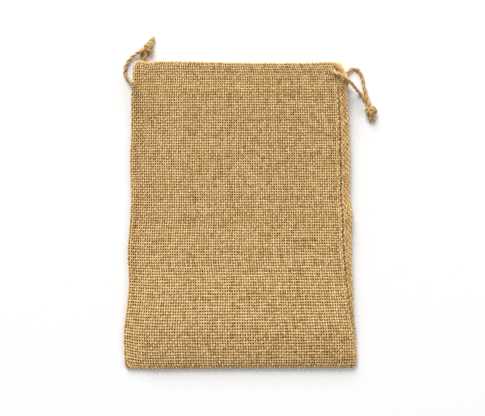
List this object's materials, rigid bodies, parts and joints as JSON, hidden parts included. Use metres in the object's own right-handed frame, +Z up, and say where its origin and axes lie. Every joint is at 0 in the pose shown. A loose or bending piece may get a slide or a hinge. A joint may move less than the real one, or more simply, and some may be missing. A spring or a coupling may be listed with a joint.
{
  "type": "burlap drawstring pouch",
  "caption": "Small flat pouch of open-weave burlap with a turned-in hem around its mouth, closed by drawstrings that leave the hem at its ends and are knotted.",
  "frame": {"origin": "on the surface the pouch lies on, under the middle of its cloth", "axes": "+Y from the closed bottom towards the mouth, +Z up from the surface, +X towards the side with the side seam"},
  "size_m": [0.1696, 0.2207, 0.0162],
  "materials": {
    "burlap": "open plain weave of natural jute",
    "jute_cord": "two-ply twisted jute"
  },
  "bodies": {
    "root": {"pouch": "burlap", "drawstring_left": "jute_cord", "drawstring_right": "jute_cord", "knot_left": "jute_cord", "knot_right": "jute_cord"}
  },
  "joints": []
}
